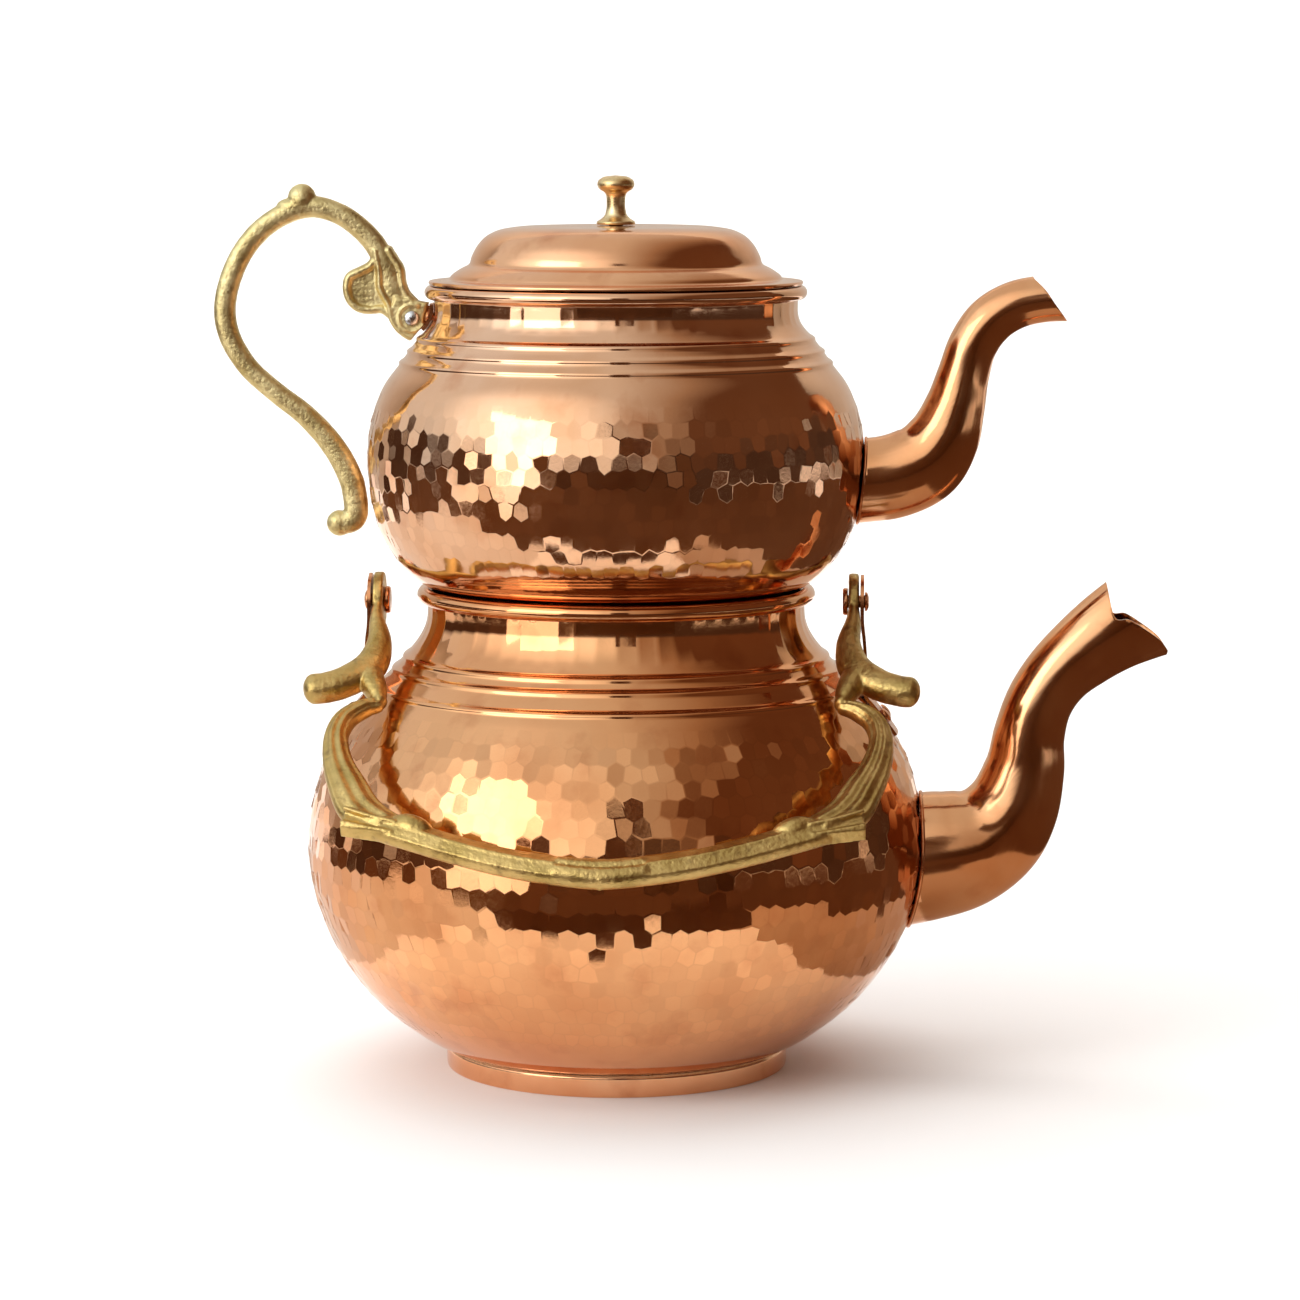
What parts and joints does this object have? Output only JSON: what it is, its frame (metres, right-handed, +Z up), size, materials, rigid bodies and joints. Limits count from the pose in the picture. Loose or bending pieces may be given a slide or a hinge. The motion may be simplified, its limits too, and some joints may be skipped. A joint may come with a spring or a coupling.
{
  "type": "two-tier copper tea kettle",
  "caption": "Hammered copper kettle with a beaked spout and a swinging cast-brass bail, carrying a smaller hammered copper teapot with a cast-brass side handle and a domed lid.",
  "frame": {"origin": "centre of the kettle's flat underside, on the surface it stands on", "axes": "+Z up along the axis of both bodies; +X towards both spouts; the bail rests on the belly towards -Y; the teapot's handle is at -X"},
  "size_m": [0.3347, 0.2287, 0.3142],
  "materials": {
    "hammered_copper": "polished copper sheet with hammer facets",
    "plain_copper": "polished copper sheet",
    "cast_brass": "satin cast brass",
    "turned_brass": "polished turned brass",
    "steel": "plain steel pin"
  },
  "bodies": {
    "kettle": {"kettle_body": "hammered_copper", "kettle_base": "plain_copper", "kettle_spout": "plain_copper", "lug_right": "plain_copper", "lug_left": "plain_copper", "bail_rivet_right": "plain_copper", "bail_rivet_left": "plain_copper", "lug_rivet_right_front": "plain_copper", "lug_rivet_right_rear": "plain_copper", "lug_rivet_left_front": "plain_copper", "lug_rivet_left_rear": "plain_copper"},
    "bail": {"bail_handle": "cast_brass"},
    "teapot": {"teapot_body": "hammered_copper", "teapot_base": "plain_copper", "teapot_spout": "plain_copper", "teapot_handle": "cast_brass", "handle_bracket": "plain_copper", "handle_pin": "steel", "bracket_rivet_front": "plain_copper", "bracket_rivet_rear": "plain_copper"},
    "lid": {"lid_shell": "plain_copper", "lid_collar": "plain_copper", "lid_knob": "turned_brass", "knob_washer": "turned_brass", "knob_nut": "turned_brass"}
  },
  "joints": [
    {"name": "bail_swing", "type": "hinge", "parent": "kettle", "child": "bail", "pos_m": [0, 0, 0.1652], "axis": [-1, 0, 0], "range_deg": [0, 72]},
    {"name": "teapot_lift", "type": "slide", "parent": "kettle", "child": "teapot", "axis": [0, 0, 1], "range_m": [0, 0.15]},
    {"name": "lid_lift", "type": "slide", "parent": "teapot", "child": "lid", "axis": [0, 0, 1], "range_m": [0, 0.08]}
  ]
}
